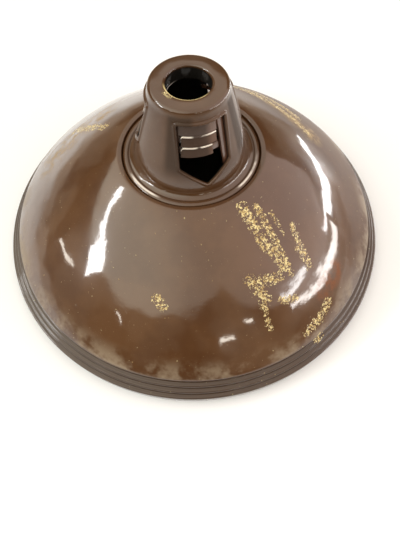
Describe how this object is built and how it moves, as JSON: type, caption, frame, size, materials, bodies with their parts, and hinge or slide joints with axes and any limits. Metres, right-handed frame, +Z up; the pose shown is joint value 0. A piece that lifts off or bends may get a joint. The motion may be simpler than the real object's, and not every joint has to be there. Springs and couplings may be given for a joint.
{
  "type": "vented dome lamp shade",
  "caption": "Ribbed dome lamp shade of lacquered sheet steel with a tapered neck, shield-shaped louvred vents and a lampholder hole.",
  "frame": {"origin": "centre of the rim, on the plane that the rim rests on", "axes": "+Z up the shade's axis towards the lampholder hole; one vent faces -Y"},
  "size_m": [0.254, 0.254, 0.12],
  "materials": {
    "brown_lacquer": "gloss, worn to brass-coloured flecks",
    "inner_lacquer": "gloss",
    "rim_wire": "drawn"
  },
  "bodies": {
    "root": {"dome": "brown_lacquer", "rim_wire": "rim_wire", "neck": "brown_lacquer", "baffle": "inner_lacquer", "upper_louvre_1": "inner_lacquer", "upper_louvre_2": "inner_lacquer", "upper_louvre_3": "inner_lacquer", "lower_louvre_1": "inner_lacquer", "lower_louvre_2": "inner_lacquer", "lower_louvre_3": "inner_lacquer"}
  },
  "joints": []
}
